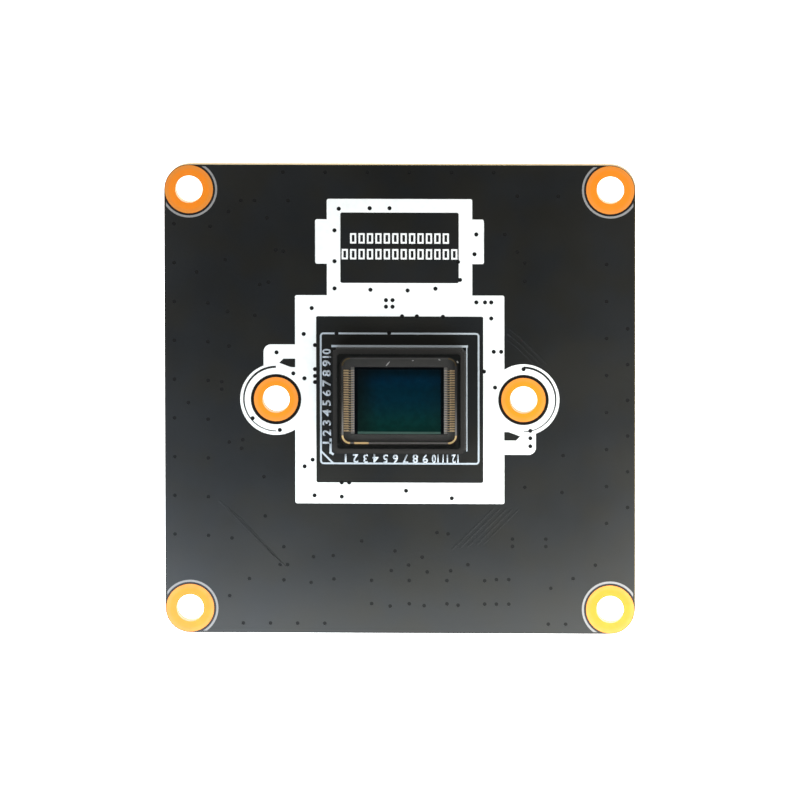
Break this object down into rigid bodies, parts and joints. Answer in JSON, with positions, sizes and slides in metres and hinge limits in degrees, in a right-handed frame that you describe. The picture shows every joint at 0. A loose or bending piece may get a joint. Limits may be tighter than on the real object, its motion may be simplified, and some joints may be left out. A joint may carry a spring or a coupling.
{
  "type": "camera sensor board",
  "caption": "Square circuit board with a glass-covered image sensor, plated screw holes, lens-holder print and board-to-board connectors on the back.",
  "frame": {"origin": "under the middle of the board, in the plane of the two connectors' mating faces", "axes": "+Z out of the sensor, square to the board; +X to the right and +Y up as seen from the sensor's side, with the label box of the print towards +Y"},
  "size_m": [0.038, 0.038, 0.0067],
  "materials": {
    "laminate": "glass-fibre laminate, cut edge",
    "solder_mask": "semi-gloss black solder mask",
    "gold_plate": "immersion gold, satin",
    "white_print": "matt white ink",
    "solder": "reflowed solder",
    "package_ceramic": "dark matt ceramic",
    "chip_glue": "cured glue",
    "chip_silicon": "polished chip",
    "pixel_filter": "colour filter film, blue to green",
    "chip_pad": "satin metal pads",
    "gold_wire": "plain gold",
    "seal": "black glue line",
    "cover_glass": "clear coated glass",
    "connector_plastic": "moulded ivory plastic",
    "contact_metal": "gold-plated contact",
    "tin": "tin plate",
    "moulding": "black moulding compound",
    "oscillator_ceramic": "fired ceramic",
    "lid_metal": "nickel-plated lid",
    "capacitor_ceramic": "fired ceramic, tan",
    "resistor_glaze": "black glaze",
    "ferrite": "dark ferrite"
  },
  "bodies": {
    "root": {"circuit_board": "laminate", "front_solder_mask": "solder_mask", "back_solder_mask": "solder_mask", "via_plugs": "solder_mask", "corner_pad_1": "gold_plate", "corner_pad_2": "gold_plate", "corner_pad_3": "gold_plate", "corner_pad_4": "gold_plate", "holder_pad_left": "gold_plate", "holder_pad_right": "gold_plate", "holder_print": "white_print", "corner_print": "white_print", "sensor_outline_print": "white_print", "label_marks": "white_print", "solder_lands": "solder", "sensor_package": "package_ceramic", "ledge_ring": "chip_pad", "package_marks": "gold_wire", "chip_glue": "chip_glue", "sensor_chip": "chip_silicon", "pixel_array": "pixel_filter", "chip_pads": "chip_pad", "bond_fingers": "gold_wire", "bond_wires": "gold_wire", "glass_seal": "seal", "cover_glass": "cover_glass", "connector_housing_left": "connector_plastic", "connector_housing_right": "connector_plastic", "connector_contacts_left": "contact_metal", "connector_contacts_right": "contact_metal", "connector_clips_left": "tin", "connector_clips_right": "tin", "regulator_body_1": "moulding", "regulator_body_2": "moulding", "regulator_body_3": "moulding", "regulator_body_4": "moulding", "regulator_pins_1": "tin", "regulator_pins_2": "tin", "regulator_pins_3": "tin", "regulator_pins_4": "tin", "oscillator_base": "oscillator_ceramic", "oscillator_lid": "lid_metal", "decoupling_capacitors": "capacitor_ceramic", "decoupling_ends": "tin", "supply_capacitors": "capacitor_ceramic", "supply_ends": "tin", "bulk_capacitors": "capacitor_ceramic", "bulk_ends": "tin", "resistors": "resistor_glaze", "resistor_ends": "tin", "ferrite_beads": "ferrite", "bead_ends": "tin"}
  },
  "joints": []
}
